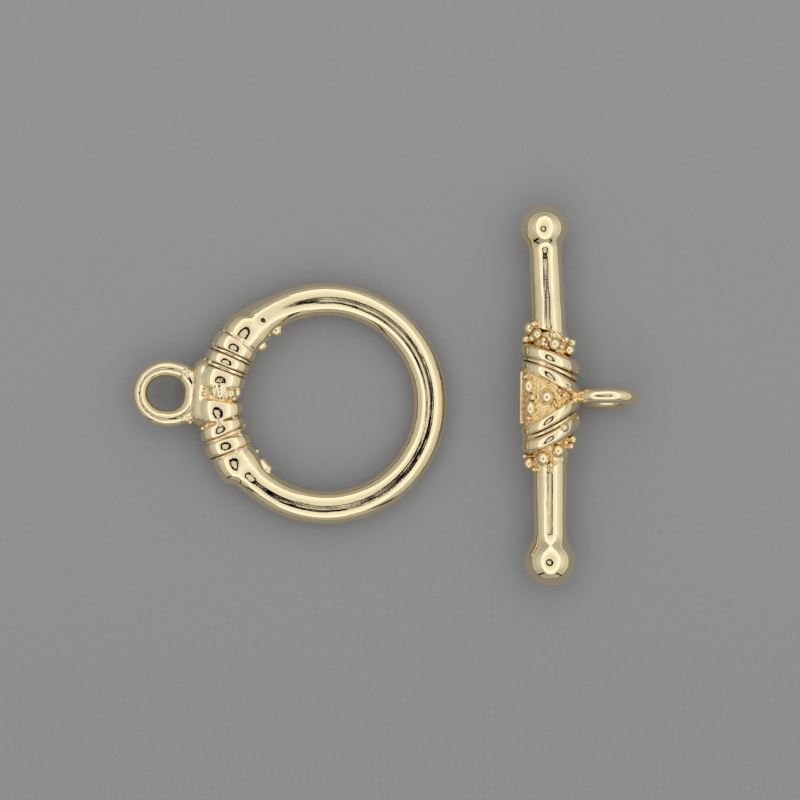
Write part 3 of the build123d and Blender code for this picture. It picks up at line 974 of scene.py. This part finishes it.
def make_piece(half):
    """The mesh object of one half, with what its material needs kept on its corners."""
    points, faces = skin(half.casting, half.low, half.high)
    normals = slopes(half.casting, points)
    # open also drives the painted crevice shade and bounce light in the material
    open_share = openness(half.casting, points, normals) * (1 - GROUND_DARK * half.ground(points))
    turn = np.array(half.matrix.to_3x3())
    mesh = bpy.data.meshes.new(half.name)
    mesh.from_pydata(points @ turn.T + np.array(half.matrix.translation), [], faces)
    mesh.shade_smooth()
    mesh.normals_split_custom_set_from_vertices((normals @ turn.T / MM).tolist())
    for name, shares in (("open", open_share), ("worn", half.worn(points))):
        mesh.attributes.new(name, "FLOAT", "POINT").data.foreach_set("value", shares.astype(np.float32))
    lay = mesh.attributes.new("lay", "FLOAT_VECTOR", "POINT")
    lay.data.foreach_set("vector", half.lay(points).astype(np.float32).ravel())
    piece = bpy.data.objects.new(half.name, mesh)
    scene.collection.objects.link(piece)
    print(half.name, "has", len(mesh.vertices), "corners;",
          round(100 * float((open_share < 0.6).mean()), 1), "% lies in crevices")
    return piece


ring_piece = make_piece(Half("ring_casting", ring, ring_frame, (-12.2, -8.4, -1.7), (7.8, 8.4, 1.7),
                             ring_ground, ring_worn, ring_lay))
bar_piece = make_piece(Half("bar_casting", bar, bar_frame, (-2.2, -12.0, -2.3), (5.9, 12.4, 2.3),
                            bar_ground, bar_worn, bar_lay))

# %% [markdown]
# In crevices the gold is painted deeper and redder, a painted stand-in for light bounced between
# gold walls, and the narrowest gaps are painted brown, painted shade with some dirt. The polish
# doesn't reach there, so the metal stays rougher.
# Both halves show this, so it is a node group that each material uses with its own values.

# %% Node group: tone of the plating, with painted crevice shade and bounce light
PALE_GOLD = (0.94, 0.81, 0.53, 1)
# painted bounce light: the amber that light bounced between gold walls gives in crevices
BOUNCE_LIGHT_GOLD = (0.92, 0.67, 0.32, 1)
# painted shade with some dirt, in the narrowest gaps
SHADE_AND_DIRT_BROWN = (0.42, 0.23, 0.07, 1)
POLISHED = 0.04  # roughness of the polished plate
CLOUD_SCALE = 1.5  # to the millimetre
Socket = namedtuple("Socket", "kind name value", defaults=(None,))


def new_group(name, inputs, outputs):
    """A node group with those sockets, and its own two ends."""
    group = bpy.data.node_groups.new(name, "ShaderNodeTree")
    for way, sockets in (("INPUT", inputs), ("OUTPUT", outputs)):
        for kind, title, value in sockets:
            made = group.interface.new_socket(title, in_out=way, socket_type="NodeSocket" + kind)
            if value is not None:
                made.default_value = value
    return group, group.nodes.new("NodeGroupInput").outputs, group.nodes.new("NodeGroupOutput").inputs


tone, tone_in, tone_out = new_group("plating_tone_and_painted_crevice_light", [
    Socket("Float", "Open", 1.0),
    Socket("Color", "Gold", PALE_GOLD),
    Socket("Color", "Deep gold", BOUNCE_LIGHT_GOLD),
    Socket("Color", "Tarnish", SHADE_AND_DIRT_BROWN),
    Socket("Float", "Polished roughness", POLISHED),
    Socket("Float", "Cast roughness", 0.25),
], [Socket("Color", "Color"), Socket("Float", "Roughness")])
where = add(tone, "TexCoord").outputs["Object"]
cloudy = noise(tone, where, CLOUD_SCALE / MM, 4.0)
depth = maths(tone, "ADD", tone_in["Open"], maths(tone, "MULTIPLY_ADD", cloudy, 0.3, -0.15))
# painted bounce light: crevices get the deeper amber gold, and they are also rougher
deep = step(tone, depth, 0.70, 0.30)
# painted shade with some dirt: the narrowest gaps turn brown
shade_and_dirt = step(tone, depth, 0.22, 0.04)
bounce_tinted = mix(tone, deep, tone_in["Gold"], tone_in["Deep gold"], "RGBA")
tone.links.new(mix(tone, shade_and_dirt, bounce_tinted, tone_in["Tarnish"], "RGBA"), tone_out["Color"])
rougher = mix(tone, deep, tone_in["Polished roughness"], tone_in["Cast roughness"])
tone.links.new(rougher, tone_out["Roughness"])
print("group", tone.name, "with", len(tone.nodes), "nodes")

# %% [markdown]
# The polish leaves strokes along the wire, which draw the dark reflections out into several fine
# lines, and a grain that breaks them into dots. Where the polish doesn't reach there are small
# pits. All are far too small for the mesh, so they are bump: noise laid along the strokes, and
# plain noise for the grain and for the pits, which are in crevices only.

# %% Node group: grain of the casting
grit, grit_in, grit_out = new_group("casting_grain", [
    Socket("Float", "Open", 1.0),
    Socket("Vector", "Lay"),
    Socket("Float", "Worn", 1.0),
    Socket("Float", "Strokes", 1.0),
    Socket("Float", "Grain", 0.2),
    Socket("Float", "Pits", 1.0),
], [Socket("Float", "Height")])
STROKE_SCALE, GRAIN_SCALE, PIT_SCALE = 7.0, 13.0, 7.0  # to the millimetre
where = add(grit, "TexCoord").outputs["Object"]
strokes = noise(grit, grit_in["Lay"], STROKE_SCALE, 1.5)
fine = noise(grit, where, GRAIN_SCALE / MM, 1.0)
pitted = noise(grit, where, PIT_SCALE / MM, 2.0)
low_places = step(grit, grit_in["Open"], 0.80, 0.35)
height = maths(grit, "MULTIPLY_ADD", fine, grit_in["Grain"], times(grit, strokes, grit_in["Strokes"]))
pits = times(grit, pitted, low_places, grit_in["Pits"])
grit.links.new(maths(grit, "ADD", times(grit, height, grit_in["Worn"]), pits), grit_out["Height"])
print("group", grit.name, "with", len(grit.nodes), "nodes")

# %% [markdown]
# The material itself is a metal: fully metallic, pale gold, with roughness and bump from the two
# groups. The ring half and the bar half get their own values, because the barrel is rougher cast.

# %% Gold materials
BUMP = 0.0085 * MM  # height of the strokes and the grain, all in all


def make_gold(name, cast, strokes, grain, pits):
    material, tree, shader = new_material(name)
    open_share, worn, lay = (add(tree, "Attribute", {"attribute_name": kept}).outputs[output]
                             for kept, output in (("open", "Fac"), ("worn", "Fac"), ("lay", "Vector")))
    # the tone group paints shade and bounce light into the crevices
    tones = add(tree, "Group", {"node_tree": tone}, Open=open_share, Gold=PALE_GOLD,
                Deep_gold=BOUNCE_LIGHT_GOLD, Tarnish=SHADE_AND_DIRT_BROWN, Polished_roughness=POLISHED, Cast_roughness=cast)
    grains = add(tree, "Group", {"node_tree": grit}, Open=open_share, Lay=lay,
                 Worn=worn, Strokes=strokes, Grain=grain, Pits=pits)
    raised = add(tree, "Bump", Strength=1.0, Distance=BUMP, Height=grains.outputs["Height"])
    shader.inputs["Metallic"].default_value = 1.0
    for output, socket in ((tones.outputs["Color"], "Base Color"),
                           (tones.outputs["Roughness"], "Roughness"),
                           (raised.outputs["Normal"], "Normal")):
        tree.links.new(output, shader.inputs[socket])
    return material


ring_gold = make_gold("gold_plate_ring", cast=0.24, strokes=1.0, grain=0.17, pits=1.2)
bar_gold = make_gold("gold_plate_bar", cast=0.26, strokes=1.0, grain=0.17, pits=1.6)
print("materials", ring_gold.name, bar_gold.name)

# %% [markdown]
# Each casting stands for its measured solid and moves with it.

# %% Dress the model
for piece, material, body, solid in (
    (ring_piece, ring_gold, "ring_half", "toggle_ring"),
    (bar_piece, bar_gold, "bar_half", "toggle_bar"),
):
    piece.data.materials.append(material)
    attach(piece, body)
    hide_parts(solid)
    print(piece.name, "rides on", body, "and stands for", solid)
